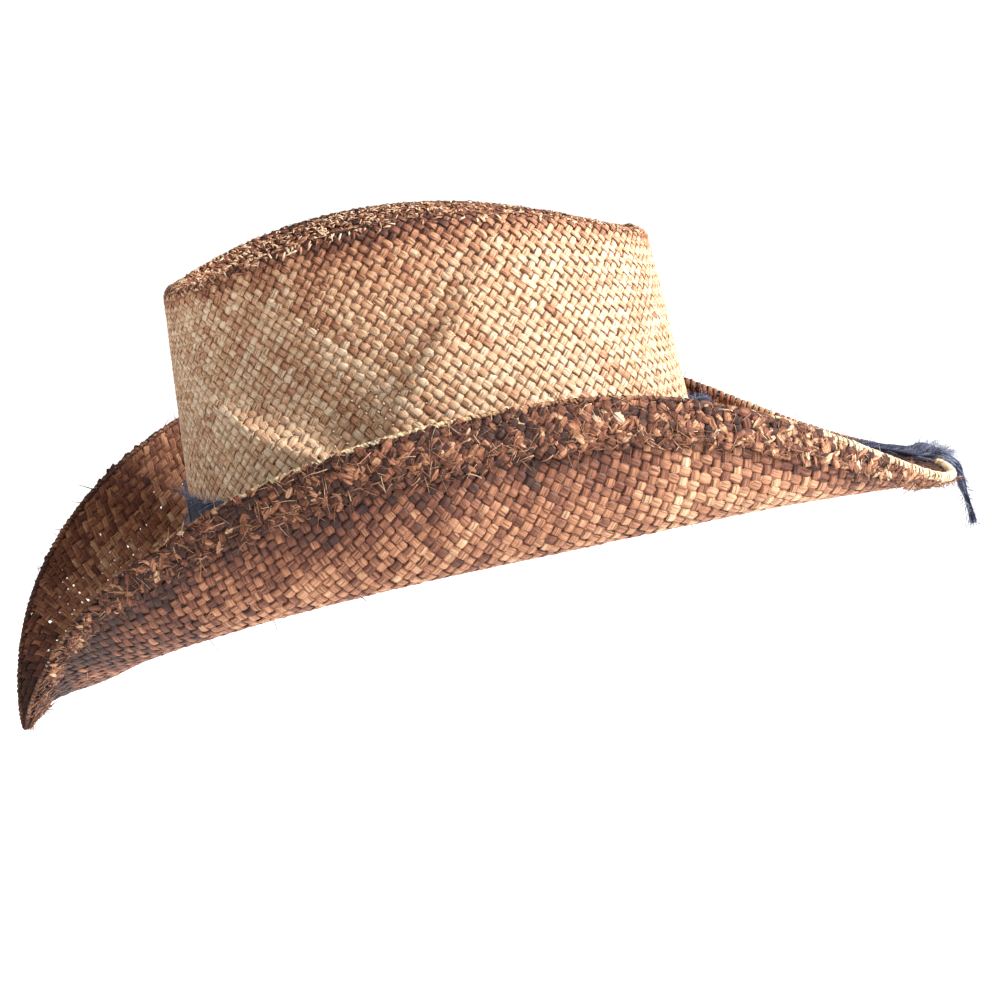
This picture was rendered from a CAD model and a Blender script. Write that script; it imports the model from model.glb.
"""A plaited straw cowboy hat: real interlaced ribbons, a stained frayed hem, a whipped rim
and a frayed denim band. Metres. Front -Y, wearer's left +X, up +Z, origin in the head opening."""
from math import cos, pi, radians, sin, sqrt

import bpy
import numpy as np
from mathutils import Matrix, Vector


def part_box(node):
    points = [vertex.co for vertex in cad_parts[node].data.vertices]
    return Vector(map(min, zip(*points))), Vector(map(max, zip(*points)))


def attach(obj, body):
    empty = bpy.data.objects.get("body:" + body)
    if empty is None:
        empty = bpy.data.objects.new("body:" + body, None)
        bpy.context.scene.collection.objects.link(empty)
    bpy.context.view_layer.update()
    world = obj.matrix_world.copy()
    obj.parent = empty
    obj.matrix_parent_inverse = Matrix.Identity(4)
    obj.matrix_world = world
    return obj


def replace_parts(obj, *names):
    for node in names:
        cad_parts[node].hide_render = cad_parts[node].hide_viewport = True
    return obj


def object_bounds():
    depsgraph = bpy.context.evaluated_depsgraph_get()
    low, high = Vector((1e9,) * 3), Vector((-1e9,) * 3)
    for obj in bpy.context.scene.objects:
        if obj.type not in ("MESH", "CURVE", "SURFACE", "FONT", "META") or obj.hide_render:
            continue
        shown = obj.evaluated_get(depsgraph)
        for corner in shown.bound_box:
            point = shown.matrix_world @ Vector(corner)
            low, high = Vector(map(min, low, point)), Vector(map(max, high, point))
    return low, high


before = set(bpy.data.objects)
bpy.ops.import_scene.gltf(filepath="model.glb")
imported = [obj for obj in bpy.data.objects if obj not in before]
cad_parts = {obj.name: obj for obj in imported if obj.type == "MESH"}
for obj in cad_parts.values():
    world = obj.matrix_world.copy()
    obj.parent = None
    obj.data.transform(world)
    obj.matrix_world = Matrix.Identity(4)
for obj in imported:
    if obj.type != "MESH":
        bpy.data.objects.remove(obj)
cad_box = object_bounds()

MM = 0.001

# ---- Sizes, from the frame where it gives them ----
crown_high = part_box("crown_shell")[1]
rim_low, rim_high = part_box("edge_binding")
band_low, band_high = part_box("denim_hatband")
sweat_low, sweat_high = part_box("sweatband")
knot_low, knot_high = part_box("denim_knot")

BINDING_RADIUS = 1.9 * MM
FOOT_HALF_WIDTH = crown_high[0]
FOOT_HALF_LENGTH = crown_high[1]
RIM_HALF_WIDTH = rim_high[0] - BINDING_RADIUS
RIM_FRONT = -rim_low[1] - BINDING_RADIUS
RIM_BACK = rim_high[1] - BINDING_RADIUS
SIDE_RISE = rim_high[2] - BINDING_RADIUS
FRONT_DROP = -rim_low[2] - BINDING_RADIUS

PLAIT_THICKNESS = 1.4 * MM
RIM_CENTRE_Y = -8 * MM
BACK_DROP = 34 * MM
FRONT_FULLNESS = 2.1
BACK_FULLNESS = 2.6
FRONT_FOLD = 0.12
BACK_DIP_POWER = 4.4
SIDE_SINK = 41 * MM
FRONT_SINK = 76 * MM
BACK_SINK = 8 * MM
FRONT_FALL = 0.62             # share of the rim's drop that the section's second pull has
BACK_FALL = 0.85
SIDE_ROLL = 49 * MM

RIDGE_HALF_WIDTH = 43 * MM
RIDGE_HALF_LENGTH = 98 * MM
CROWN_PEAK = 110 * MM
PEAK_Y = -15 * MM
RIDGE_FALL = 2.1              # per metre
WALL_CURVE = 1.8
DENT_DEPTH = 12 * MM
DENT_FOOT = 24 * MM           # height of the pinch's lowest point
DENT_FLANK = 15 * MM          # how soon the pinch reaches its depth
DENT_ARC = 92 * MM            # radius that turns the pinch's angles into widths
CREST_ROUNDING = 6 * MM
CREASE_DEPTH = 24 * MM
CREASE_HALF_WIDTH = 22 * MM
CREASE_HALF_LENGTH = 93 * MM

HEM_START = 0.875
CROWN_PITCH = 3.5 * MM
BRIM_PITCH = 4.0 * MM
RIBBON_THICKNESS = 0.30 * MM
TOP_HALF_SIZE = 110 * MM      # flat cloth that the crown's top and the brim are cut from
BRIM_HALF_SIZE = 235 * MM

chance = np.random.default_rng(7)


# ---- The hat's form, for arrays of points ----
def oval_point(angle, half_width, half_length):
    """Points of an ellipse in the direction of the angle, which is 0 at the front."""
    reach = 1 / np.sqrt((np.sin(angle) / half_width) ** 2 + (np.cos(angle) / half_length) ** 2)
    return reach * np.sin(angle), -reach * np.cos(angle)


def bend(start, first_pull, second_pull, end, share):
    """One coordinate of a cubic Bezier curve."""
    rest = 1 - share
    inner = 3 * share * rest * (rest * first_pull + share * second_pull)
    return start * rest ** 3 + inner + end * share ** 3


def rim_point(angle):
    """The rim's middle, and how much it belongs to the rolled-up side."""
    at_front = np.cos(angle) > 0
    fullness = np.where(at_front, FRONT_FULLNESS, BACK_FULLNESS)
    half_length = np.where(at_front, RIM_FRONT + RIM_CENTRE_Y, RIM_BACK - RIM_CENTRE_Y)
    across = np.abs(np.sin(angle) / RIM_HALF_WIDTH) ** fullness
    along = np.abs(np.cos(angle) / half_length) ** fullness
    reach = (across + along) ** (-1 / fullness)
    x = reach * np.sin(angle)
    y = RIM_CENTRE_Y - reach * np.cos(angle)
    share = np.minimum(np.abs(x) / RIM_HALF_WIDTH, 1)
    rounded = np.sqrt(share ** 2 + FRONT_FOLD ** 2) - FRONT_FOLD
    front_climb = rounded / (sqrt(1 + FRONT_FOLD ** 2) - FRONT_FOLD)
    climb = np.where(at_front, front_climb, share ** BACK_DIP_POWER)
    lowest = np.where(at_front, -FRONT_DROP, -BACK_DROP)
    z = lowest + (SIDE_RISE - lowest) * climb
    return np.stack([x, y, z], -1), share ** fullness


def brim_middle(angle, share):
    """The brim between the crown's foot (share 0) and the rim (share 1)."""
    foot_x, foot_y = oval_point(angle, FOOT_HALF_WIDTH, FOOT_HALF_LENGTH)
    rim, side = rim_point(angle)
    end_sink = np.where(np.cos(angle) > 0, FRONT_SINK, BACK_SINK)
    end_fall = np.where(np.cos(angle) > 0, FRONT_FALL, BACK_FALL)
    outward = bend(0, 0.40 + 0.46 * side, 0.75 + 0.39 * side, 1, share)
    first_pull = -(end_sink + (SIDE_SINK - end_sink) * side)
    second_pull = end_fall * rim[..., 2] * (1 - side) + (rim[..., 2] - SIDE_ROLL) * side
    x = foot_x + (rim[..., 0] - foot_x) * outward
    y = foot_y + (rim[..., 1] - foot_y) * outward
    return np.stack([x, y, bend(0, first_pull, second_pull, rim[..., 2], share)], -1)


def unit(vectors):
    return vectors / np.maximum(np.linalg.norm(vectors, axis=-1, keepdims=True), 1e-12)


def run_along(path):
    """Length travelled at each point of a path."""
    return np.concatenate([[0], np.cumsum(np.linalg.norm(np.diff(path, axis=0), axis=1))])


def form_normal(form, first, second, first_step, second_step):
    along = form(first + first_step, second) - form(first - first_step, second)
    across = form(first, second + second_step) - form(first, second - second_step)
    return unit(np.cross(along, across))


def brim_surface(angle, share):
    """Point and outward (underside) normal of the brim."""
    return brim_middle(angle, share), form_normal(brim_middle, angle, share, 2e-3, 2e-3)


def ridge_height(y):
    return CROWN_PEAK - RIDGE_FALL * (y - PEAK_Y) ** 2


def crown_top_height(x, y):
    along = np.maximum(1 - (y / CREASE_HALF_LENGTH) ** 4, 0)
    return ridge_height(y) - CREASE_DEPTH * np.exp(-(x / CREASE_HALF_WIDTH) ** 2) * along


def soft_ramp(value, softness):
    """Zero below nought, the value itself above, with a rounded corner."""
    return softness * np.logaddexp(0, value / softness)


def pinch(turn, height):
    """Depth of the finger pinch: a facet that widens upwards between two crests."""
    above = height - DENT_FOOT
    front_crest = radians(9) + radians(49) * np.exp(-above / (22 * MM))
    back_crest = radians(61) + radians(670) * above
    from_front = (turn - front_crest) * DENT_ARC
    from_back = (back_crest - turn) * DENT_ARC
    inside = -CREST_ROUNDING * np.logaddexp(-from_front / CREST_ROUNDING, -from_back / CREST_ROUNDING)
    return DENT_DEPTH * (1 - np.exp(-soft_ramp(inside, 1.5 * MM) / DENT_FLANK))


RIDGE_ROUND = 0.05            # share of the wall's height that the ridge's rounding takes


def wall_raw(angle, rise):
    """Crown wall from foot (rise 0) to ridge (rise 1), then inwards over the top."""
    foot_x, foot_y = oval_point(angle, FOOT_HALF_WIDTH, FOOT_HALF_LENGTH)
    ridge_x = foot_x * RIDGE_HALF_WIDTH / FOOT_HALF_WIDTH
    ridge_y = foot_y * RIDGE_HALF_LENGTH / FOOT_HALF_LENGTH
    top = ridge_height(ridge_y)
    up = np.clip(rise, 0, 1)
    x = foot_x + (ridge_x - foot_x) * up ** WALL_CURVE
    y = foot_y + (ridge_y - foot_y) * up
    turn = np.abs((angle + pi) % (2 * pi) - pi)
    dent = pinch(turn, top * up) * (1 - up ** 5)
    x = x - np.sign(np.sin(angle)) * dent
    y = y + 0.25 * dent
    z = top * np.minimum(rise, 1)
    over = np.maximum(rise - 1, 0) * CROWN_PEAK / np.maximum(np.hypot(ridge_x, ridge_y), 0.02)
    x = x * (1 - over)
    y = y * (1 - over)
    z = np.where(rise > 1, crown_top_height(x, y), z)
    return np.stack([x, y, z], -1)


def crown_wall(angle, rise):
    """The crown wall with its ridge rounded."""
    low = wall_raw(angle, np.full_like(rise, 1 - RIDGE_ROUND))
    mid = wall_raw(angle, np.full_like(rise, 1.0))
    high = wall_raw(angle, np.full_like(rise, 1 + RIDGE_ROUND))
    t = np.clip((rise - 1 + RIDGE_ROUND) / (2 * RIDGE_ROUND), 0, 1)[..., None]
    arc = low * (1 - t) ** 2 + 2 * mid * t * (1 - t) + high * t ** 2
    inside = (np.abs(rise - 1) < RIDGE_ROUND)[..., None]
    return np.where(inside, arc, wall_raw(angle, rise))


def wall_surface(angle, rise):
    return crown_wall(angle, rise), form_normal(crown_wall, angle, rise, 2e-3, 4e-3)


def top_surface(x, y):
    def form(u, v):
        return np.stack([u, v, crown_top_height(u, v)], -1)
    return form(x, y), form_normal(form, x, y, 5e-4, 5e-4)


# ---- Meshes ----
class Pile:
    """Gathers closed strips and strands, with their shading values, into one mesh."""

    def __init__(self):
        self.points, self.faces, self.values = [], [], []
        self.count = 0

    def rings(self, rings, along, across, tone, stain):
        """A closed bar through rings of points, shaped (length, round, 3)."""
        length, around = rings.shape[:2]
        index = self.count + np.arange(length * around).reshape(length, around)
        nxt = np.roll(index, -1, axis=1)
        quads = np.stack([index[:-1], nxt[:-1], nxt[1:], index[1:]], -1).reshape(-1, 4)
        self.faces.append(quads[:, ::-1])
        for end, order in ((index[0], 1), (index[-1], -1)):
            cap = end[::order]
            if around == 3:
                self.faces.append(np.array([[cap[0], cap[1], cap[2], -1]]))
            else:
                half = [[cap[0], cap[i], cap[i + 1], cap[i + 2]] for i in range(1, around - 2, 2)]
                self.faces.append(np.array(half))
                if around % 2:
                    self.faces.append(np.array([[cap[0], cap[-2], cap[-1], -1]]))
        self.points.append(rings.reshape(-1, 3))
        shape = (length, around)
        self.values.append(np.stack([
            np.broadcast_to(np.asarray(v, float), shape) for v in (along, across, tone, stain)
        ], -1).reshape(-1, 4))
        self.count += length * around

    def build(self, name, material, body="root"):
        """Make the mesh object and let it ride on its body."""
        points = np.concatenate(self.points)
        faces = np.concatenate(self.faces)
        loops = faces.ravel()
        loops = loops[loops >= 0]
        totals = np.where(faces[:, 3] < 0, 3, 4)
        mesh = bpy.data.meshes.new(name)
        mesh.vertices.add(len(points))
        mesh.vertices.foreach_set("co", points.ravel())
        mesh.loops.add(len(loops))
        mesh.loops.foreach_set("vertex_index", loops)
        mesh.polygons.add(len(totals))
        mesh.polygons.foreach_set("loop_start", np.concatenate([[0], np.cumsum(totals)[:-1]]))
        mesh.update(calc_edges=True)
        mesh.validate()
        values = np.concatenate(self.values)
        for i, title in enumerate(("along", "across", "tone", "stain")):
            layer = mesh.attributes.new(title, "FLOAT", "POINT")
            layer.data.foreach_set("value", values[:, i].copy())
        mesh.polygons.foreach_set("use_smooth", np.ones(len(totals), bool))
        piece = bpy.data.objects.new(name, mesh)
        bpy.context.scene.collection.objects.link(piece)
        mesh.materials.append(material)
        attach(piece, body)
        return piece


# A ribbon's section: two edges, two folds on its face and a flat back, in widths and arches
RIBBON_SECTION = np.array([(-0.5, 0.0), (-0.24, 1.0), (0.20, 1.0), (0.5, 0.0), (0.3, -1.0), (-0.3, -1.0)])


def lay_ribbon(pile, middle, normal, width, arch, thickness, tone, stain, start=0.0):
    """A flat closed ribbon along a line of points, its face turned to the normal.

    Its edges and its hidden back carry more stain, as deep places in straw do."""
    ahead = unit(np.gradient(middle, axis=0))
    normal = unit(normal - ahead * np.sum(normal * ahead, -1, keepdims=True))
    across = np.cross(normal, ahead)
    length = len(middle)
    width = np.broadcast_to(width, (length,))
    fold = 1 + 0.35 * chance.standard_normal(2)
    section_height = np.array([0, arch * fold[0], arch * fold[1], 0, -thickness, -thickness])
    offset = RIBBON_SECTION[:, 0] * width[:, None]
    rings = (middle[:, None] + across[:, None] * offset[..., None]
             + normal[:, None] * section_height[None, :, None])
    travelled = start + run_along(middle)
    grime = np.array([0.16, 0, 0, 0.16, 0.2, 0.2])
    pile.rings(rings, travelled[:, None], offset, np.asarray(tone).reshape(-1, 1),
               np.asarray(stain).reshape(-1, 1) + grime)


def lay_strand(pile, path, radius, tone, stain, sides=3):
    """A thin tapered thread through the points of a path."""
    ahead = unit(np.gradient(path, axis=0))
    helper = np.where(np.abs(ahead[:, 2:3]) < 0.8, [[0, 0, 1.0]], [[1.0, 0, 0]])
    one = unit(np.cross(ahead, helper))
    two = np.cross(ahead, one)
    turn = 2 * pi * np.arange(sides) / sides
    radius = np.broadcast_to(radius, (len(path),))[:, None, None]
    rings = path[:, None] + radius * (one[:, None] * np.cos(turn)[None, :, None]
                                      + two[:, None] * np.sin(turn)[None, :, None])
    start = chance.random() * 3
    pile.rings(rings, start + run_along(path)[:, None], turn * 2e-4, tone, stain)


def slow_noise(count, every, size):
    """Smooth random numbers along a line."""
    knots = chance.standard_normal(int(count / every) + 4)
    where = np.linspace(0, len(knots) - 1.001, count)
    low = where.astype(int)
    t = where - low
    t = t * t * (3 - 2 * t)
    return size * (knots[low] * (1 - t) + knots[low + 1] * t)


def smooth_step(low, high, value):
    t = np.clip((value - low) / (high - low), 0, 1)
    return t * t * (3 - 2 * t)


STEPS_PER_CELL = 3
WAVE_FLATNESS = 1.5


def over_under(place, line):
    """Height wave of a ribbon: +1 over its neighbours, -1 under, at whole crossings."""
    wave = np.cos(pi * (place - 0.5) + pi * line)
    return np.clip(WAVE_FLATNESS * wave, -1, 1)


def cell_tones(place, size):
    """A tone for each visible cell of a ribbon, and one for the whole ribbon."""
    cell = np.floor(place).astype(int)
    cell = cell - cell.min()
    shades = chance.standard_normal(cell.max() + 1) * size
    return shades[cell] + chance.standard_normal() * size


# ---- Stain, from 0 (bare straw) to 1 (dark brown) ----
def brim_stain(angle, share, point):
    """Darker at the rim and the front; the wearer's right half has less stain than the left."""
    towards_rim = smooth_step(0.62, 0.93, share)
    towards_front = smooth_step(-0.095, -0.165, point[..., 1])
    ripple = 0.04 * np.sin(angle * 9 + share * 5) + 0.03 * np.sin(angle * 23)
    far = smooth_step(0.01, -0.05, point[..., 0])
    near_front = smooth_step(0.07, -0.02, point[..., 1]) * (1 - far)
    return np.clip(0.38 + (0.34 - 0.16 * far) * towards_rim + (0.24 - 0.20 * far) * towards_front
                   + 0.17 * near_front - 0.20 * far + ripple, 0, 1)


def wall_stain(angle, rise):
    """Darker towards the ridge and in the pinch."""
    turn = np.abs((angle + pi) % (2 * pi) - pi)
    towards_ridge = smooth_step(0.86, 1.02, rise)
    in_dent = np.exp(-((turn - radians(72)) / radians(30)) ** 2) * smooth_step(0.45, 1.0, rise)
    return np.clip(0.16 + 0.46 * towards_ridge + 0.30 * in_dent, 0, 1)


# ---- The plaited crown wall ----
turn_table = np.linspace(0, 2 * pi, 1441)
foot_line = np.stack(oval_point(turn_table, FOOT_HALF_WIDTH, FOOT_HALF_LENGTH), -1)
foot_run = run_along(foot_line)
FOOT_ROUND = foot_run[-1]


def foot_angle(run):
    return np.interp(run % FOOT_ROUND, foot_run, turn_table)


WALL_LENGTH = 122 * MM        # cloth from the foot up to and over the ridge
WALL_START = -2.5 * MM        # the cloth begins below the foot, behind the brim's turned-up ends
WALL_STRETCH = 1.16           # rise gained over one wall length of cloth
WALL_ARCH = 0.25 * MM         # how far a ribbon's folds stand out of its edges
WALL_WAVE = 0.42 * MM         # half the height between over and under
FLAT_ARCH = 0.27 * MM
UNDER_STAIN = 0.10            # extra stain where a ribbon runs under its neighbour
wall_strips = int(round(FOOT_ROUND / (sqrt(2) * CROWN_PITCH)))
wall_pitch = FOOT_ROUND / (sqrt(2) * wall_strips)


def plait_crown_wall(pile, direction, first, last):
    """One family of slanting ribbons round the crown, from strip first to last."""
    for line in range(first, last):
        offset = (line + 0.5) * wall_pitch
        cells = np.arange(int(WALL_START * sqrt(2) / wall_pitch), int(WALL_LENGTH * sqrt(2) / wall_pitch))
        place = (cells[:, None] + 0.5 + np.arange(STEPS_PER_CELL)[None] / STEPS_PER_CELL).ravel()
        sway = slow_noise(len(place), 20, 0.10 * wall_pitch)
        climb = place * wall_pitch / sqrt(2)
        run = sqrt(2) * offset + direction * climb + sway
        # Counted in the other family's ribbons, so that the waves interlock
        if direction > 0:
            other = place + offset / wall_pitch
            wave = over_under(other, line)
        else:
            other = offset / wall_pitch - place
            wave = -over_under(other, line)
        angle = foot_angle(run)
        rise = climb / WALL_LENGTH * WALL_STRETCH
        middle, normal = wall_surface(angle, rise)
        width = wall_pitch * (0.98 + 0.09 * wave + slow_noise(len(place), 9, 0.06) + chance.normal(0, 0.03))
        width = width * (1 - 0.18 * smooth_step(0.3, 1, rise))
        middle = middle + normal * (wave * WALL_WAVE)[:, None]
        tone = cell_tones(other, 0.75)
        lay_ribbon(pile, middle, normal, width, WALL_ARCH, RIBBON_THICKNESS, tone,
                   wall_stain(angle, rise) + UNDER_STAIN * (wave < 0), chance.random() * 5)


# ---- Flat weave cut to a shape, for the brim and the crown's top ----
def plait_flat(pile, pitch, half_size, place_cloth, family, width_share, lift, tone_size, half=0):
    """Ribbons of one family of a square weave that lies at 45 degrees to the hat's axis.

    place_cloth turns flat cloth points into (points, normals, stain, inside). half -1 or 1
    lays only the ribbons on one side of the middle, 0 lays them all."""
    lines = int(half_size / pitch)
    cells = np.arange(-lines, lines)
    place = (cells[:, None] + 0.5 + np.arange(STEPS_PER_CELL)[None] / STEPS_PER_CELL).ravel()
    for line in range(-lines if half <= 0 else 0, lines if half >= 0 else 0):
        offset = (line + 0.5) * pitch
        sway = slow_noise(len(place), 24, 0.10 * pitch)
        along = place * pitch
        across = offset + sway
        if family == 0:
            flat_x, flat_y = (along - across) / sqrt(2), (along + across) / sqrt(2)
        else:
            flat_x, flat_y = (across - along) / sqrt(2), (across + along) / sqrt(2)
        wave = over_under(place, line) * (1 if family == 0 else -1)
        middle, normal, stain, inside = place_cloth(flat_x, flat_y)
        share = width_share(flat_x, flat_y) if callable(width_share) else width_share
        width = pitch * (share + 0.09 * wave + slow_noise(len(place), 9, 0.06) + chance.normal(0, 0.03))
        tone = cell_tones(place, tone_size)
        middle = middle + normal * (wave * lift)[:, None]
        edges = np.flatnonzero(np.diff(np.concatenate([[0], inside.astype(int), [0]])))
        for start, stop in zip(edges[::2], edges[1::2]):
            if stop - start > 3:
                part = slice(start, stop)
                lay_ribbon(pile, middle[part], normal[part], width[part], FLAT_ARCH, RIBBON_THICKNESS,
                           tone[part], stain[part] + UNDER_STAIN * (wave[part] < 0), chance.random() * 5)


# Arc length across the brim, for laying flat cloth on it
GRID_TURNS = 360
GRID_SHARES = 60
angle_grid = np.linspace(0, 2 * pi, GRID_TURNS + 1)
share_grid = np.linspace(0, 1, GRID_SHARES + 1)
grid_points = brim_middle(angle_grid[:, None], share_grid[None, :] + 0 * angle_grid[:, None])
grid_run = np.stack([run_along(line) for line in grid_points])
brim_width = grid_run[:, -1]
even_share = np.stack([np.interp(share_grid * run[-1], run, share_grid) for run in grid_run])


def brim_share(angle, distance):
    """Share across the brim at a cloth distance from the crown's foot."""
    turn = (angle % (2 * pi)) / (2 * pi) * GRID_TURNS
    low = np.clip(turn.astype(int), 0, GRID_TURNS - 1)
    mix = turn - low
    width = brim_width[low] * (1 - mix) + brim_width[low + 1] * mix
    part = np.clip(distance / width, 0, 1) * GRID_SHARES
    column = np.clip(part.astype(int), 0, GRID_SHARES - 1)
    t = part - column
    near = even_share[low, column] * (1 - t) + even_share[low, column + 1] * t
    far = even_share[low + 1, column] * (1 - t) + even_share[low + 1, column + 1] * t
    return near * (1 - mix) + far * mix, width


def brim_cloth(flat_x, flat_y, first_share=0.0, lift=0.0):
    angle = np.arctan2(flat_x, -flat_y)
    foot_x, foot_y = oval_point(angle, FOOT_HALF_WIDTH, FOOT_HALF_LENGTH)
    distance = np.hypot(flat_x, flat_y) - np.hypot(foot_x, foot_y)
    share, width = brim_share(angle, distance)
    inside = (distance > -3 * MM) & (distance < width - 0.8 * MM) & (share > first_share - 0.001)
    point, normal = brim_surface(angle, np.maximum(share, 0.004))
    point[..., 2] += np.maximum(-distance, 0)       # ends turned up against the crown
    return point + normal * lift, normal, brim_stain(angle, share, point), inside


def brim_tightness(flat_x, flat_y):
    """Ribbon width as a share of the pitch: open at the front, where light shows through."""
    front = smooth_step(-0.10, -0.13, flat_y) * smooth_step(-0.205, -0.18, flat_y)
    patches = 0.5 + 0.5 * np.sin(flat_x * 95 + 1.3) * np.sin(flat_y * 110)
    return 0.945 - 0.12 * front * patches


def hem_cloth(flat_x, flat_y):
    lift = PLAIT_THICKNESS / 2 + 0.9 * MM
    point, normal, stain, inside = brim_cloth(flat_x, flat_y, HEM_START - 0.01, lift)
    return point, normal, np.clip(stain + 0.03, 0, 1), inside


def top_cloth(flat_x, flat_y):
    reach = (flat_x / RIDGE_HALF_WIDTH) ** 2 + (flat_y / RIDGE_HALF_LENGTH) ** 2
    point, normal = top_surface(flat_x, flat_y)
    stain = 0.48 + 0.14 * smooth_step(0.3, 1.0, reach)
    return point - normal * 0.6 * MM, normal, stain, reach < 0.90


# ---- Materials ----
def linear(red, green, blue):
    """A screen colour, 0 to 255, as the shader wants it."""
    values = [v / 255 for v in (red, green, blue)]
    return [v / 12.92 if v <= 0.04045 else ((v + 0.055) / 1.055) ** 2.4 for v in values] + [1.0]


class Shader:
    """Small helper that adds nodes to a material."""

    def __init__(self, name):
        self.material = bpy.data.materials.new(name)
        self.material.use_nodes = True
        self.tree = self.material.node_tree
        self.surface = self.tree.nodes["Principled BSDF"]

    def add(self, kind, **settings):
        node = self.tree.nodes.new("ShaderNode" + kind)
        for key, value in settings.items():
            setattr(node, key, value)
        return node

    def link(self, source, target):
        self.tree.links.new(source, target)

    def feed(self, sockets, items):
        """Give each socket a constant or a link; None leaves it alone."""
        for socket, item in zip(sockets, items):
            if isinstance(item, (int, float, list, tuple)):
                socket.default_value = item
            elif item is not None:
                self.link(item, socket)

    def value(self, name):
        return self.add("Attribute", attribute_name=name).outputs["Fac"]

    def maths(self, operation, first, second=None):
        node = self.add("Math", operation=operation)
        self.feed(node.inputs, (first, second))
        return node.outputs[0]

    def ramp(self, factor, stops):
        node = self.add("ValToRGB")
        while len(node.color_ramp.elements) < len(stops):
            node.color_ramp.elements.new(0.5)
        for element, (place, colour) in zip(node.color_ramp.elements, stops):
            element.position = place
            element.color = colour
        self.link(factor, node.inputs["Fac"])
        return node.outputs["Color"]

    def noise(self, vector, scale, detail=3.0, roughness=0.6):
        node = self.add("TexNoise")
        node.inputs["Scale"].default_value = scale
        node.inputs["Detail"].default_value = detail
        node.inputs["Roughness"].default_value = roughness
        self.link(vector, node.inputs["Vector"])
        return node.outputs["Fac"]

    def vector(self, x, y, z=0.0):
        node = self.add("CombineXYZ")
        self.feed(node.inputs, (x, y, z))
        return node.outputs[0]

    def mix(self, factor, first, second, blend="MIX"):
        node = self.add("Mix", data_type="RGBA", blend_type=blend)
        self.feed((node.inputs[0], node.inputs[6], node.inputs[7]), (factor, first, second))
        return node.outputs[2]

    def bump(self, height, strength, distance):
        node = self.add("Bump")
        node.inputs["Strength"].default_value = strength
        node.inputs["Distance"].default_value = distance
        self.link(height, node.inputs["Height"])
        self.link(node.outputs[0], self.surface.inputs["Normal"])


def straw_material(name, stops, fleck=0.28, roughness=0.62):
    """Raffia: long fibres along each ribbon, tone by ribbon and cell, stain by place."""
    s = Shader(name)
    place = s.add("TexCoord").outputs["Object"]
    fibre_place = s.vector(s.maths("MULTIPLY", s.value("along"), 45.0),
                           s.maths("MULTIPLY", s.value("across"), 1500.0),
                           s.maths("MULTIPLY", s.value("tone"), 7.0))
    fibres = s.noise(fibre_place, 1.0, 2.5, 0.6)
    blotches = s.noise(place, 55.0, 3.0)
    fine = s.noise(place, 420.0, 2.0)
    depth = s.maths("ADD", s.value("stain"), s.maths("MULTIPLY", s.maths("SUBTRACT", blotches, 0.5), fleck))
    depth = s.maths("ADD", depth, s.maths("MULTIPLY", s.maths("SUBTRACT", fine, 0.5), 0.22))
    depth = s.maths("ADD", depth, s.maths("MULTIPLY", s.value("tone"), -0.095))
    depth = s.maths("ADD", depth, s.maths("MULTIPLY", s.maths("SUBTRACT", 0.52, fibres), 0.42))
    colour = s.ramp(depth, stops)
    streak = s.ramp(fibres, [(0.36, (0.26, 0.19, 0.15, 1)), (0.47, (0.82, 0.79, 0.76, 1)),
                             (0.60, (1.0, 1.0, 1.0, 1))])
    colour = s.mix(0.85, colour, streak, "MULTIPLY")
    s.link(colour, s.surface.inputs["Base Color"])
    s.surface.inputs["Roughness"].default_value = roughness
    s.surface.inputs["Specular IOR Level"].default_value = 0.35
    s.bump(fibres, 0.9, 0.0004)
    return s.material


BARE_STOPS = [(0.0, linear(228, 202, 172)), (0.25, linear(210, 170, 134)), (0.50, linear(176, 122, 90)),
              (0.74, linear(116, 68, 48)), (1.0, linear(60, 33, 26))]


def cloth_material(name, dark, light, thread_scale, roughness=0.85):
    """Twill: slanting ridges of light and dark threads with worn patches."""
    s = Shader(name)
    place = s.add("TexCoord").outputs["Object"]
    wave = s.add("TexWave", wave_type="BANDS", bands_direction="DIAGONAL")
    wave.inputs["Scale"].default_value = thread_scale
    wave.inputs["Distortion"].default_value = 1.2
    wave.inputs["Detail"].default_value = 2.0
    s.link(place, wave.inputs["Vector"])
    wear = s.noise(place, 140.0, 4.0)
    threads = s.noise(place, 1500.0, 2.0)
    shade = s.maths("ADD", s.maths("MULTIPLY", wave.outputs["Fac"], 0.35), s.maths("MULTIPLY", wear, 0.55))
    shade = s.maths("ADD", shade, s.maths("MULTIPLY", threads, 0.25))
    shade = s.maths("ADD", shade, s.value("stain"))
    s.link(s.ramp(shade, [(0.40, dark), (0.78, light)]), s.surface.inputs["Base Color"])
    s.surface.inputs["Roughness"].default_value = roughness
    s.surface.inputs["Specular IOR Level"].default_value = 0.2
    s.surface.inputs["Sheen Weight"].default_value = 0.15
    s.bump(s.maths("ADD", wave.outputs["Fac"], threads), 0.6, 0.0003)
    return s.material


def metal_material(name, colour, roughness):
    """Drawn metal with fine scratches that dull it."""
    s = Shader(name)
    place = s.add("TexCoord").outputs["Object"]
    scratches = s.noise(place, 900.0, 3.0)
    s.link(s.mix(scratches, colour, [c * 0.6 for c in colour[:3]] + [1.0]), s.surface.inputs["Base Color"])
    s.surface.inputs["Metallic"].default_value = 1.0
    dulled = s.maths("ADD", s.maths("MULTIPLY", scratches, 0.25), roughness - 0.12)
    s.link(dulled, s.surface.inputs["Roughness"])
    s.bump(scratches, 0.2, 0.0001)
    return s.material


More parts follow.
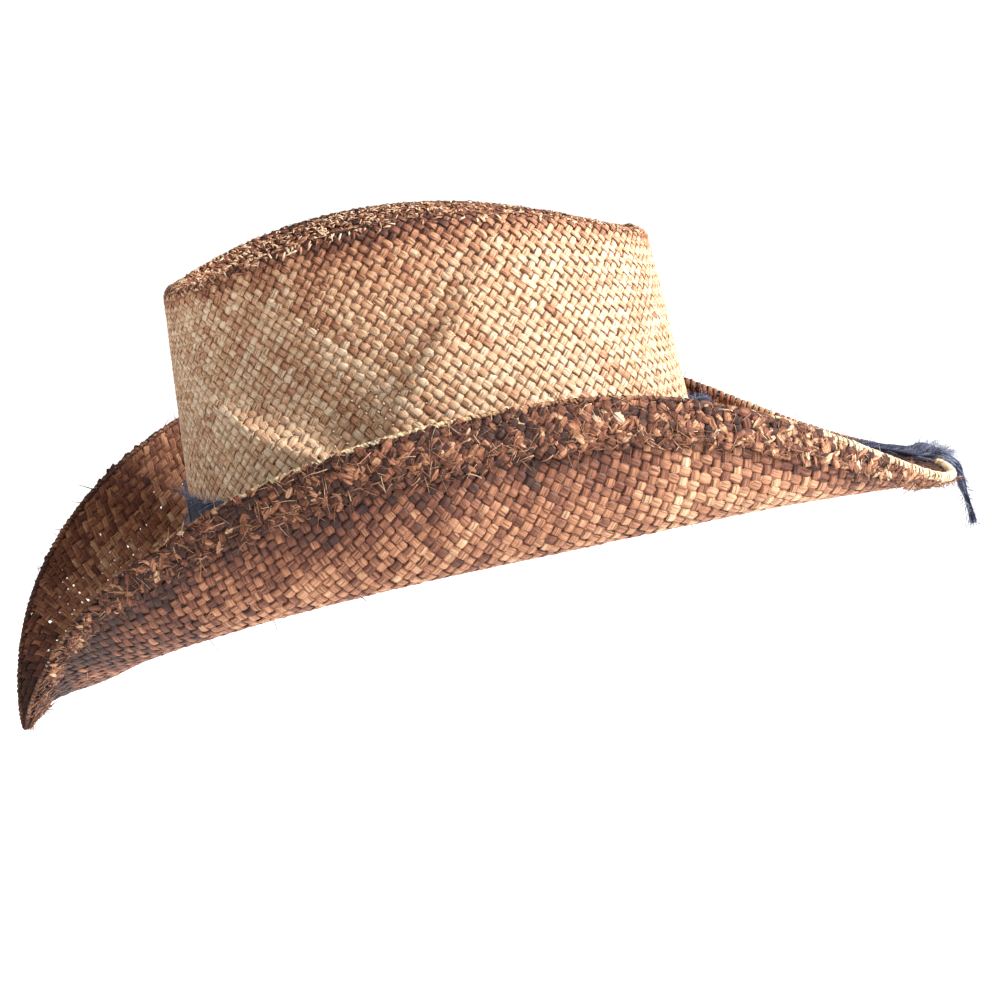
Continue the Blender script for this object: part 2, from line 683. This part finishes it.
straw = straw_material("raffia", BARE_STOPS)
frayed_straw = straw_material("frayed_raffia", BARE_STOPS, fleck=0.5, roughness=0.7)
pale_straw = straw_material("binding_raffia", [
    (0.0, linear(246, 226, 190)), (0.35, linear(226, 194, 150)), (0.65, linear(160, 108, 76)),
    (1.0, linear(86, 50, 36))], fleck=0.35)
denim = cloth_material("denim", linear(9, 11, 22), linear(44, 52, 84), 900.0)
denim_fray = cloth_material("denim_fray", linear(38, 46, 78), linear(176, 184, 212), 900.0)
sweat_cloth = cloth_material("sweatband_cotton", linear(196, 180, 150), linear(232, 222, 200), 700.0)
sewing_thread = cloth_material("sewing_thread", linear(70, 42, 30), linear(140, 96, 66), 1600.0)
steel = metal_material("wire_steel", linear(175, 176, 178), 0.35)
brass = metal_material("sleeve_brass", linear(205, 170, 96), 0.35)


# ---- Build: crown ----
half_strips = wall_strips // 2
for family, direction in (("a", 1), ("b", -1)):
    for side, (first, last) in (("left", (0, half_strips)), ("right", (half_strips, wall_strips))):
        pile = Pile()
        plait_crown_wall(pile, direction, first, last)
        piece = pile.build(f"crown_wall_ribbons_{family}_{side}", straw)
        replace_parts(piece, "crown_shell")

pile = Pile()
for family in (0, 1):
    plait_flat(pile, CROWN_PITCH, TOP_HALF_SIZE, top_cloth, family, 0.92, 0.34 * MM, 1.0)
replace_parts(pile.build("crown_top_ribbons", frayed_straw), "crown_shell")

# ---- Build: brim ----
for family in (0, 1):
    for half in (-1, 1):
        pile = Pile()
        plait_flat(pile, BRIM_PITCH, BRIM_HALF_SIZE, brim_cloth, family, brim_tightness, 0.40 * MM, 0.8, half)
        name = f"brim_ribbons_{'ab'[family]}_{'front' if half < 0 else 'back'}"
        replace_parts(pile.build(name, straw), "brim_shell")

pile = Pile()
for family in (0, 1):
    plait_flat(pile, BRIM_PITCH, BRIM_HALF_SIZE, hem_cloth, family, 0.88, 0.5 * MM, 1.1)
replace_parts(pile.build("hem_ribbons", frayed_straw), "brim_hem")


# ---- Build: whipped rim ----
def rim_line(angle):
    return rim_point(angle)[0]


rim_table = np.linspace(0, 2 * pi, 2881)
rim_track = rim_line(rim_table)
rim_run = run_along(rim_track)
RIM_ROUND = rim_run[-1]
WHIP_PITCH = 2.7 * MM
WHIP_POINTS = 10


def rim_frame(run):
    """Points on the rim, with unit vectors into the brim and square to it."""
    angle = np.interp(run % RIM_ROUND, rim_run, rim_table)
    point = rim_line(angle)
    ahead = unit(rim_line(angle + 2e-3) - rim_line(angle - 2e-3))
    inward = unit(brim_middle(angle, np.full_like(angle, 0.97)) - point)
    inward = unit(inward - ahead * np.sum(inward * ahead, -1, keepdims=True))
    return point, inward, np.cross(ahead, inward)


def whip_rim():
    """A straw wound round the rim: pale at the back, stained at the front and the far side."""
    turns = int(round(RIM_ROUND / WHIP_PITCH))
    turn = np.arange(turns * WHIP_POINTS + 1) / WHIP_POINTS
    run = turn * RIM_ROUND / turns + slow_noise(len(turn), WHIP_POINTS, 0.25 * MM)
    point, inward, beside = rim_frame(run)
    spin = 2 * pi * turn
    radial = unit(inward * np.cos(spin)[:, None] + beside * np.sin(spin)[:, None])
    back = smooth_step(0.09, 0.15, point[:, 1])
    reach = (0.55 + 1.0 * back) * MM + slow_noise(len(turn), 6, 0.10 * MM)
    reach = reach + (0.5 + 0.4 * back) * MM * np.maximum(np.cos(spin), 0)
    middle = point + radial * reach[:, None]
    pile = Pile()
    front = smooth_step(-0.09, -0.13, point[:, 1])
    middling = (1 - back) * smooth_step(-0.02, 0.02, point[:, 1])
    far_side = smooth_step(-0.01, -0.03, point[:, 0]) * (1 - front)
    stain = 0.12 + 0.80 * front + 0.62 * np.maximum(middling, far_side)
    stain = stain + 0.12 * slow_noise(len(turn), 50, 1.0)
    width = (2.9 - 0.7 * back) * MM * (1 + slow_noise(len(turn), 8, 0.10))
    lay_ribbon(pile, middle, radial, width, 0.18 * MM, 0.2 * MM, slow_noise(len(turn), 10, 0.8), stain)
    return pile.build("rim_whipping", pale_straw)


def rim_core():
    """The cord that the whipping is wound on."""
    count = 900
    run = np.linspace(0, RIM_ROUND, count)
    point, inward, beside = rim_frame(run)
    turn = 2 * pi * np.arange(8) / 8
    rings = point[:, None] + 0.55 * MM * (inward[:, None] * np.cos(turn)[None, :, None]
                                         + beside[:, None] * np.sin(turn)[None, :, None])
    pile = Pile()
    pile.rings(rings, run[:, None], turn * 1.2 * MM, slow_noise(count, 5, 0.8)[:, None],
               0.75 + slow_noise(count, 8, 0.1)[:, None])
    return pile.build("rim_core", straw)


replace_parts(whip_rim(), "edge_binding")
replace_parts(rim_core(), "edge_binding")


# ---- Build: loose fibres ----
def tuft(pile, root, direction, sideways, length, radius, tone, stain, points=5):
    """One loose fibre that leaves its root and curls over."""
    t = np.linspace(0, 1, points)[:, None]
    curl = sideways * (t ** 2) * length * 0.6
    path = root + direction * t * length + curl
    lay_strand(pile, path, radius * (1 - 0.6 * t[:, 0]), tone, stain)


def flake(pile, root, normal, direction, length, width, curl, tone, stain, points=5):
    """A short crumpled end of ribbon that arches up from the surface and back to it."""
    t = np.linspace(0, 1, points)
    across = np.cross(normal, direction)
    twist = chance.normal(0, 0.5) * (t - 0.5)
    height = curl * np.sin(pi * t) + 0.1 * MM
    path = root + direction * (length * (t[:, None] - 0.5)) + normal * height[:, None]
    face = unit(normal + across * twist[:, None] + direction * chance.normal(0, 0.25))
    taper = np.interp(t, [0, 0.3, 0.7, 1], [chance.uniform(0.15, 0.9), 1, 1, chance.uniform(0.15, 0.9)])
    lay_ribbon(pile, path, face, width * taper, 0.07 * width, 0.12 * MM, tone, stain, chance.random())


HEM_SCRAPS = 1700
HEM_HAIRS = 3600
RIDGE_SCRAPS = 5200
BAND_HAIRS = 2800
KNOT_HAIRS = 260
STRAY_STRAWS = 46


def crumple_hem():
    """Squeezed ribbon ends that lie with the weave over the turned-back hem."""
    pile = Pile()
    hem_width = 1 - HEM_START
    for _ in range(HEM_SCRAPS):
        angle = np.array([chance.random() * 2 * pi])
        inwards = chance.random()
        share = np.array([1.0 - 0.004 - hem_width * (1.06 * inwards)])
        point, normal = brim_surface(angle, share)
        point, normal = point[0], normal[0]
        around = unit(brim_middle(angle + 0.01, share)[0] - point)
        across = np.cross(normal, around)
        slant = radians(45) * chance.choice([-1, 1]) + chance.normal(0, 0.16)
        direction = unit(around * cos(slant) + across * sin(slant) + normal * chance.normal(0, 0.02))
        lift = PLAIT_THICKNESS / 2 + (1.05 + 0.30 * chance.random()) * MM * (1 - 0.55 * (inwards < 0.15))
        stain = 0.68 + chance.normal(0, 0.14) + 0.16 * (inwards > 0.85) - 0.25 * (chance.random() < 0.12)
        stain -= 0.16 * smooth_step(-0.01, 0.08, point[1])
        width = chance.uniform(1.6, 3.2) * MM
        flake(pile, point + normal * lift, normal, direction, chance.uniform(3.2, 5.6) * MM, width,
              abs(chance.normal(0.10, 0.15)) * MM, chance.normal(0, 0.5), stain, 4)
    return pile.build("hem_crumple", frayed_straw)


def fray_hem():
    """Thin broken fibres on the hem."""
    pile = Pile()
    for _ in range(HEM_HAIRS):
        angle = np.array([chance.random() * 2 * pi])
        share = np.array([1 - (1 - HEM_START) * 1.15 * chance.random()])
        point, normal = brim_surface(angle, share)
        lift = PLAIT_THICKNESS / 2 + 1.3 * MM
        around = unit(brim_middle(angle + 0.01, share) - point)[0]
        across = np.cross(normal[0], around)
        direction = unit(around * chance.normal() + across * chance.normal()
                         + normal[0] * abs(chance.normal(0, 0.1)))
        stain = float(np.clip(0.62 + chance.normal(0.0, 0.25), 0.1, 1))
        tuft(pile, point[0] + normal[0] * (lift + 0.4 * MM * chance.random()), direction,
             unit(chance.standard_normal(3)) * 0.5, chance.uniform(2.5, 7.0) * MM,
             chance.uniform(0.10, 0.28) * MM, chance.normal(0, 0.8), stain, 4)
    return pile.build("hem_fray", frayed_straw)


def speckle_ridge():
    """Short broken scraps, pale and reddish, all over the crown's worn top."""
    pile = Pile()
    made = 0
    while made < RIDGE_SCRAPS:
        x = chance.uniform(-1, 1) * RIDGE_HALF_WIDTH * 1.02
        y = chance.uniform(-1, 1) * RIDGE_HALF_LENGTH * 1.02
        reach = sqrt((x / RIDGE_HALF_WIDTH) ** 2 + (y / RIDGE_HALF_LENGTH) ** 2)
        if reach > 1.0 or chance.random() > reach ** 2 + 0.15:
            continue
        made += 1
        if reach > 0.86:
            angle = np.array([np.arctan2(x, -y)])
            rise = np.array([1 + chance.uniform(-0.035, 0.12)])
            point, normal = wall_surface(angle, rise)
        else:
            point, normal = top_surface(np.array([x]), np.array([y]))
        point, normal = point[0], normal[0]
        direction = unit(np.cross(normal, chance.standard_normal(3)))
        pale = chance.random() < 0.5
        stain = (0.14 if pale else 0.60) + chance.normal(0, 0.09)
        flake(pile, point + normal * 0.55 * MM, normal, direction, chance.uniform(1.4, 3.6) * MM,
              chance.uniform(0.5, 1.3) * MM, abs(chance.normal(0.15, 0.2)) * MM,
              chance.normal(0, 0.8), stain, 3)
    return pile.build("ridge_speckle", frayed_straw)


def stray_threads():
    """A few straws that hang off the belly of the brim."""
    pile = Pile()
    for _ in range(STRAY_STRAWS):
        angle = np.array([chance.random() * 2 * pi])
        share = np.array([chance.uniform(0.25, 0.8)])
        point, normal = brim_surface(angle, share)
        direction = unit(normal[0] * 0.5 + chance.standard_normal(3) * 0.8)
        tuft(pile, point[0] + normal[0] * 0.6 * MM, direction, unit(chance.standard_normal(3)),
             chance.uniform(2.5, 6.5) * MM, chance.uniform(0.12, 0.3) * MM, 0.0, chance.uniform(0.2, 0.8), 6)
    return pile.build("stray_straws", frayed_straw)


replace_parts(crumple_hem(), "brim_hem")
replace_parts(fray_hem(), "brim_hem")
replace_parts(speckle_ridge(), "crown_shell")
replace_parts(stray_threads(), "brim_shell")


# ---- Build: stitches ----
STITCH_POINTS = 6
STITCH_SWELL = np.sin(np.linspace(0, pi, STITCH_POINTS))


def stitch_round(name, count, half_turn, route, radius, stain, sides):
    """Separate stitches all round the hat; route turns their angles into points."""
    pile = Pile()
    for i in range(count):
        angle = 2 * pi * (i + 0.5) / count + np.linspace(-half_turn, half_turn, STITCH_POINTS)
        lay_strand(pile, route(angle), radius, 0.0, stain, sides)
    return pile.build(name, sewing_thread)


def hem_route(angle):
    point, normal = brim_surface(angle, np.full(STITCH_POINTS, HEM_START + 0.02))
    lift = PLAIT_THICKNESS / 2 + 1.5 * MM + 0.6 * MM * STITCH_SWELL
    return point + normal * lift[:, None]


hem_thread = stitch_round("hem_stitches", 112, 0.014, hem_route, 0.32 * MM, 0.1, 5)
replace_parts(hem_thread, "hem_stitching")


# ---- Build: denim band, knot and tails ----
def band_wall(angle, height):
    return wall_surface(angle, height / CROWN_PEAK)


def denim_band():
    pile = Pile()
    count = 901
    angle = np.linspace(0, 2 * pi, count)
    low = band_low[2] - 0.5 * MM + slow_noise(count, 3, 0.5 * MM)
    high = band_high[2] - 2 * MM * (1 - np.cos(angle))
    high = high + slow_noise(count, 2, 0.55 * MM) + slow_noise(count, 30, 0.5 * MM)
    rows = np.linspace(0, 1, 7)
    outer, inner = [], []
    for row in rows:
        height = low + (high - low) * row
        point, normal = band_wall(angle, height)
        swell = (1.25 + 0.5 * sin(pi * row)) * MM + slow_noise(count, 9, 0.2 * MM)
        outer.append(point + normal * swell[:, None])
        inner.append(point + normal * 0.55 * MM)
    rings = np.stack(outer + inner[::-1], 1)
    pile.rings(rings, 0.0, 0.0, 0.0, slow_noise(count, 6, 0.08)[:, None])
    piece = pile.build("denim_band", denim)
    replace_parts(piece, "denim_hatband")
    return piece


def band_fray():
    pile = Pile()
    for _ in range(BAND_HAIRS):
        angle = np.array([chance.random() * 2 * pi])
        upper = chance.random() < 0.7
        top = band_high[2] - 2 * MM * (1 - cos(angle[0]))
        height = (top if upper else band_low[2] + 1 * MM) + chance.normal(0, 0.6 * MM)
        point, normal = band_wall(angle, np.array([height]))
        up = 1 if upper else -0.2
        direction = unit(normal[0] * chance.uniform(0.1, 1.2) + np.array([0, 0, up]) * chance.uniform(0.3, 1)
                         + chance.normal(0, 0.4, 3))
        tuft(pile, point[0] + normal[0] * 1.3 * MM, direction, unit(chance.standard_normal(3)),
             chance.uniform(1.5, 5.0) * MM, chance.uniform(0.06, 0.12) * MM, 0.0,
             chance.uniform(-0.2, 0.5), 5)
    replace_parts(pile.build("band_fray", denim_fray), "denim_hatband")


def strip(name, path, sideways, width, thickness, curl, node):
    """A limp denim strip along a path, its section curled by an angle, with ragged edges."""
    pile = Pile()
    count = len(path)
    ahead = unit(np.gradient(path, axis=0))
    sideways = unit(sideways - ahead * np.sum(sideways * ahead, -1, keepdims=True))
    normal = np.cross(sideways, ahead)
    columns = np.linspace(-0.5, 0.5, 9)
    ragged = width * (1 + slow_noise(count, 2, 0.08))
    outer, inner = [], []
    for column in columns:
        bend_angle = column * curl
        across = ragged / curl * sin(bend_angle)
        height = ragged / curl * (1 - cos(bend_angle))
        base = path + sideways * across[:, None] + normal * height[:, None]
        out = unit(sideways * sin(bend_angle) - normal * cos(bend_angle))
        outer.append(base + out * thickness / 2)
        inner.append(base - out * thickness / 2)
    rings = np.stack(outer + inner[::-1], 1)
    pile.rings(rings, 0.0, 0.0, 0.0, slow_noise(count, 4, 0.1)[:, None])
    piece = pile.build(name, denim)
    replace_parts(piece, node)
    return piece


def smooth_path(points, count):
    """A smooth line through hand-picked points (Catmull-Rom)."""
    p = np.array(points)
    p = np.concatenate([[2 * p[0] - p[1]], p, [2 * p[-1] - p[-2]]])
    t = np.linspace(0, len(p) - 3.0001, count)
    i = t.astype(int)
    t = (t - i)[:, None]
    a, b, c, d = p[i], p[i + 1], p[i + 2], p[i + 3]
    square = (2 * a - 5 * b + 4 * c - d) * t ** 2
    cube = (3 * b - a - 3 * c + d) * t ** 3
    return 0.5 * (2 * b + (c - a) * t + square + cube)


def fray_path(name, path, spread, count, length, node):
    """Loose threads along a strip, thickest at its end."""
    pile = Pile()
    for _ in range(count):
        i = int(len(path) * chance.beta(2.6, 1.0)) % len(path)
        ahead = unit(path[min(i + 1, len(path) - 1)] - path[i - 1] + 1e-9)
        aside = unit(np.cross(ahead, chance.standard_normal(3)))
        root = path[i] + aside * chance.uniform(0.2, 1) * spread
        direction = unit(ahead * chance.uniform(0.2, 1.2) + aside * chance.uniform(0.2, 1.0))
        tuft(pile, root, direction, unit(chance.standard_normal(3)), chance.uniform(0.4, 1) * length,
             chance.uniform(0.06, 0.12) * MM, 0.0, chance.uniform(-0.35, 0.3), 6)
    piece = pile.build(name, denim_fray)
    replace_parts(piece, node)
    return piece


band_piece = denim_band()
band_fray()

KNOT_MIDDLE = (np.array(knot_low) + np.array(knot_high)) / 2
TAIL_GAP = 1.4 * MM
TAIL_WIDTH = 10 * MM
TAIL_THICKNESS = 0.9 * MM
TAIL_HAIRS = 520


def back_brim_top(y):
    """Height just above the brim's top face along the middle of its back."""
    share = np.linspace(0.02, 1, 200)
    line = brim_middle(np.full(200, pi), share)
    return float(np.interp(y, line[:, 1], line[:, 2])) + PLAIT_THICKNESS / 2 + TAIL_GAP


def tail_path(x, hang):
    """Middle line of a tail: off the knot, along the back brim and over the rim."""
    root_y = knot_high[1] + 0.3 * MM
    lie = [root_y + (RIM_BACK - 6 * MM - root_y) * i / 4 for i in range(1, 5)]
    points = [(x * 0.4, KNOT_MIDDLE[1], KNOT_MIDDLE[2]), (x, root_y, KNOT_MIDDLE[2] - 1 * MM)]
    points += [(x, y, back_brim_top(y)) for y in lie]
    points += [(x, RIM_BACK + along * MM, z * MM) for along, z in hang]
    return smooth_path(points, 90)


def tail(name, x, hang, turns, node):
    path = tail_path(x, hang)
    share = np.linspace(0, 1, len(path))
    path = path + slow_noise(len(path), 18, 0.5 * MM)[:, None] * np.array([1.0, 0, 0.3])
    twist = turns * smooth_step(0.45, 1.0, share) + slow_noise(len(path), 22, 0.22)
    ahead = unit(np.gradient(path, axis=0))
    level = unit(np.cross(ahead, [[0, 0, 1.0]]) + 1e-9)
    lifted = np.cross(level, ahead)
    sideways = level * np.cos(twist)[:, None] + lifted * np.sin(twist)[:, None]
    width = TAIL_WIDTH * (0.60 - 0.36 * share ** 3)
    piece = strip(name, path, sideways, width, TAIL_THICKNESS, 1.1, node)
    hairs = fray_path(name + "_fray", path, 0.2 * TAIL_WIDTH, TAIL_HAIRS, 6 * MM, node)


def knot():
    """The band's ends tied over each other: three wraps of folded denim."""
    pile = Pile()
    half = (np.array(knot_high) - np.array(knot_low)) / 2
    for wrap, (tilt, reach, wide) in enumerate(((0.5, 0.92, 8.5), (-0.6, 0.86, 8.0), (1.45, 0.80, 8.5))):
        turn = np.linspace(0, 2 * pi, 49)
        across = np.array([cos(tilt), 0, sin(tilt)])
        path = KNOT_MIDDLE + (across * (np.sin(turn) * half[0] * reach)[:, None] * (0.8 if wrap < 2 else 0.55)
                              + np.array([0, 1.0, 0]) * (np.cos(turn) * half[1] * reach)[:, None])
        face = unit(path - KNOT_MIDDLE)
        lay_ribbon(pile, path, face, wide * MM * (0.72 + 0.2 * np.abs(np.cos(turn))), 1.1 * MM, 0.9 * MM,
                   0.0, 0.0)
    piece = pile.build("denim_knot_wraps", denim)
    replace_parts(piece, "denim_knot")
    hairs = Pile()
    for _ in range(KNOT_HAIRS):
        outward = unit(chance.standard_normal(3) * np.array([1.2, 0.6, 1.0]) + np.array([0, 0.4, 0]))
        tuft(hairs, KNOT_MIDDLE + outward * half * 0.85, unit(outward + chance.normal(0, 0.5, 3)),
             unit(chance.standard_normal(3)), chance.uniform(2, 5) * MM, 0.08 * MM, 0.0,
             chance.uniform(-0.2, 0.5), 5)
    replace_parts(hairs.build("denim_knot_fray", denim_fray), "denim_knot")


knot()
OVER_RIM = (0.5, -30.4)
LONG_HANG = (OVER_RIM, (6, -33), (11, -40), (13, -51), (14.5, -64))
MIDDLE_HANG = (OVER_RIM, (5, -32.4), (9.5, -37.5), (13, -46))
SHORT_HANG = (OVER_RIM, (4, -31.6))
tail("tail_long", 0.0, LONG_HANG, 1.3, "denim_tail_long")
tail("tail_middle", -TAIL_WIDTH - 1 * MM, MIDDLE_HANG, -1.0, "denim_tail_middle")
tail("tail_short", TAIL_WIDTH + 1 * MM, SHORT_HANG, 0.8, "denim_tail_short")


def tack_route(angle):
    point, normal = band_wall(angle, np.full(STITCH_POINTS, (band_low[2] + band_high[2]) / 2))
    lift = (1.9 + 0.35 * STITCH_SWELL) * MM
    return point + normal * lift[:, None]


tack_thread = stitch_round("band_tacks", 6, 0.028, tack_route, 0.3 * MM, 0.2, 6)
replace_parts(tack_thread, "band_tack_stitches")


# ---- Build: sweatband and what is sewn to it ----
SWEAT_OUT = PLAIT_THICKNESS + 0.3 * MM
SWEAT_THICKNESS = 0.9 * MM


def inner_wall(angle, height, depth):
    point, normal = wall_surface(angle, height / CROWN_PEAK)
    return point - normal * np.reshape(depth, (-1, 1))


def cloth_sweatband():
    pile = Pile()
    angle = np.linspace(0, 2 * pi, 481)
    heights = np.linspace(sweat_low[2], sweat_high[2], 10)
    outer, inner = [], []
    for row, height in enumerate(heights):
        share = row / 9
        pucker = 0.22 * MM * np.sin(angle * 56) * max(0, 1 - 3 * share)
        hem = 0.35 * MM * (share < 0.15 or share > 0.9)
        level = np.full_like(angle, height)
        outer.append(inner_wall(angle, level, SWEAT_OUT))
        inner.append(inner_wall(angle, level, SWEAT_OUT + SWEAT_THICKNESS + hem + pucker))
    rings = np.stack(outer + inner[::-1], 1)
    pile.rings(rings, 0.0, 0.0, 0.0, slow_noise(481, 6, 0.04)[:, None])
    piece = pile.build("sweatband_cloth", sweat_cloth)
    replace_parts(piece, "sweatband")


def sweatband_route(angle):
    depth = SWEAT_OUT + SWEAT_THICKNESS + (0.35 + 0.25 * STITCH_SWELL) * MM
    return inner_wall(angle, np.full(STITCH_POINTS, 4 * MM), depth)


def bowed_slab(name, node, rows, bow, material):
    """A small cloth patch in its CAD box, bowed across its width, with rounded corners."""
    low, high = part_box(node)
    pile = Pile()
    middle = (np.array(low) + np.array(high)) / 2
    half = (np.array(high) - np.array(low)) / 2
    lift = np.linspace(-1, 1, rows)
    path = middle + np.stack([0 * lift, bow * (1 - lift ** 2) * MM, lift * half[2]], -1)
    squeeze = 1 - np.abs(lift) ** 10 * 0.12
    spread = np.stack([squeeze, squeeze * 0 + 1, squeeze * 0], -1)
    front, rear = ([path + np.array([c * half[0], side * half[1], 0]) * spread for c in np.linspace(-1, 1, 9)]
                   for side in (-1, 1))
    pile.rings(np.stack(front + rear[::-1], 1), 0.0, 0.0, 0.0, 0.0)
    piece = pile.build(name, material)
    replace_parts(piece, node)


def cord_bow():
    """A little tied cord: two loops, two ends and the tie round them."""
    low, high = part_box("sweatband_bow")
    middle = (np.array(low) + np.array(high)) / 2
    half = (np.array(high) - np.array(low)) / 2
    pile = Pile()
    turn = np.linspace(0, 2 * pi, 41)
    for side in (-1, 1):
        loop = np.stack([side * half[0] * 0.5 * (1 - np.cos(turn)), 0.25 * MM * np.sin(turn),
                         half[2] * 0.8 * np.sin(turn) * np.abs(np.sin(turn / 2))], -1)
        lay_ribbon(pile, middle + loop, np.tile([[0, -1.0, 0]], (41, 1)), 1.7 * MM, 0.2 * MM, 0.35 * MM,
                   0.0, 0.1)
        t = np.linspace(0, 1, 12)
        end = np.stack([side * half[0] * 0.55 * t, -0.3 * MM * np.ones(12), -half[2] * 0.9 * t], -1)
        lay_ribbon(pile, middle + end, np.tile([[0, -1.0, 0]], (12, 1)), 1.6 * MM, 0.2 * MM, 0.35 * MM,
                   0.0, 0.1)
    tie = np.stack([1.0 * MM * np.cos(turn), 0.7 * MM * np.sin(turn), 0 * turn], -1)
    lay_ribbon(pile, middle + tie, tie * np.array([1, 1, 0.0]) + 1e-9, 2.2 * MM, 0.25 * MM, 0.3 * MM,
               0.0, 0.0)
    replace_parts(pile.build("sweatband_cord_bow", sewing_thread), "sweatband_bow")


cloth_sweatband()
sweatband_thread = stitch_round("sweatband_stitches", 56, 0.03, sweatband_route, 0.3 * MM, 0.2, 6)
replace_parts(sweatband_thread, "sweatband_stitching")
bowed_slab("seam_tape", "sweatband_seam_tape", 17, 0.2, sweat_cloth)
bowed_slab("blank_label", "size_label", 13, 0.15, sweat_cloth)
cord_bow()

for node, material in (("brim_edge_wire", steel), ("wire_joint_sleeve", brass)):
    shown = bpy.data.objects[node]
    shown.data.materials.clear()
    shown.data.materials.append(material)


# ---- Camera and light ----
CAMERA_AZIMUTH = radians(80)
CAMERA_HEIGHT = radians(9)
CAMERA_ROLL = radians(10)
CAMERA_DISTANCE = 1.6
CAMERA_LENS = 142.6           # millimetres, on a 36 mm sensor
CAMERA_SHIFT = (0.0552, -0.024)
AIM = Vector((0, 0, 0.03))    # where the lamps point
WORLD_LIGHT = 0.32
FLOOR_HALF = 70.0
FLOOR_GAP = 0.25              # the floor lies this far below the hat


def make_camera():
    data = bpy.data.cameras.new("camera")
    data.lens = CAMERA_LENS
    data.sensor_width = 36
    data.shift_x, data.shift_y = CAMERA_SHIFT
    data.clip_end = 200
    camera = bpy.data.objects.new("camera", data)
    bpy.context.scene.collection.objects.link(camera)
    back = Vector((sin(CAMERA_AZIMUTH) * cos(CAMERA_HEIGHT), -cos(CAMERA_AZIMUTH) * cos(CAMERA_HEIGHT),
                   sin(CAMERA_HEIGHT)))
    right = Vector((cos(CAMERA_AZIMUTH), sin(CAMERA_AZIMUTH), 0))
    up = back.cross(right)
    turned_right = right * cos(CAMERA_ROLL) - up * sin(CAMERA_ROLL)
    turned_up = right * sin(CAMERA_ROLL) + up * cos(CAMERA_ROLL)
    rotation = Matrix((turned_right, turned_up, back)).transposed()
    camera.matrix_world = Matrix.Translation(back * CAMERA_DISTANCE) @ rotation.to_4x4()
    bpy.context.scene.camera = camera


def area_light(name, place, size, power, colour=(1, 1, 1)):
    data = bpy.data.lights.new(name, "AREA")
    data.size = size
    data.energy = power
    data.color = colour
    lamp = bpy.data.objects.new(name, data)
    lamp.location = place
    lamp.rotation_euler = (AIM - Vector(place)).to_track_quat("-Z", "Y").to_euler()
    bpy.context.scene.collection.objects.link(lamp)


def make_studio():
    world = bpy.data.worlds.new("studio")
    world.use_nodes = True
    world.node_tree.nodes["Background"].inputs["Color"].default_value = (1, 1, 1, 1)
    world.node_tree.nodes["Background"].inputs["Strength"].default_value = WORLD_LIGHT
    bpy.context.scene.world = world
    bpy.context.scene.view_settings.view_transform = "Standard"
    area_light("key", (0.62, 1.7, 0.95), 0.40, 100, (1.0, 0.985, 0.97))
    area_light("fill", (1.6, -0.2, 0.7), 1.4, 6)
    area_light("front_fill", (0.9, -1.3, 0.9), 1.0, 5)
    mesh = bpy.data.meshes.new("floor")
    half = FLOOR_HALF
    floor_z = cad_box[0][2] - FLOOR_GAP
    mesh.from_pydata([(-half, -half, floor_z), (half, -half, floor_z), (half, half, floor_z),
                      (-half, half, floor_z)], [], [(0, 1, 2, 3)])
    floor = bpy.data.objects.new("floor", mesh)
    bpy.context.scene.collection.objects.link(floor)
    s = Shader("floor_paper")
    s.surface.inputs["Base Color"].default_value = (0.93, 0.93, 0.93, 1)
    s.surface.inputs["Roughness"].default_value = 0.9
    s.surface.inputs["Emission Color"].default_value = (1, 1, 1, 1)
    s.surface.inputs["Emission Strength"].default_value = 0.74
    mesh.materials.append(s.material)


make_camera()
make_studio()
